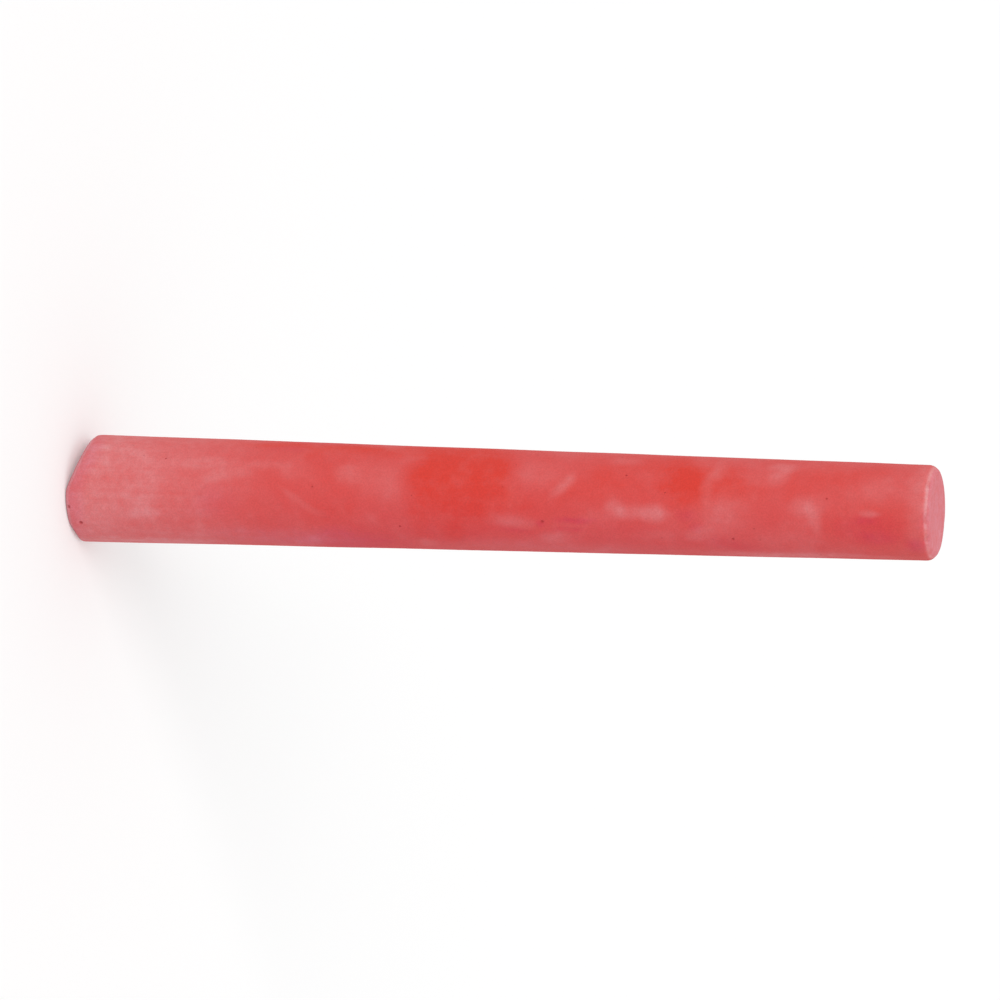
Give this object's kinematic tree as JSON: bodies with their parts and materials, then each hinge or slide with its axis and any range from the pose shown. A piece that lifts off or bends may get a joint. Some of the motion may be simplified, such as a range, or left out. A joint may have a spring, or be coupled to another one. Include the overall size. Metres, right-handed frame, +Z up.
{
  "type": "chalk stick",
  "caption": "Stick of moulded red blackboard chalk, round and slightly tapered, with its wide end rubbed to a slant by writing.",
  "frame": {"origin": "middle of the wide end, on its flat", "axes": "+Z up the stick's axis from the wide end to the narrow end; the slant rubbed on the wide end falls away towards -X and -Y"},
  "size_m": [0.01, 0.01, 0.08],
  "materials": {
    "red_chalk": "matt, powdery, mottled red with pale dust at both ends"
  },
  "bodies": {
    "root": {"chalk_stick": "red_chalk"}
  },
  "joints": []
}
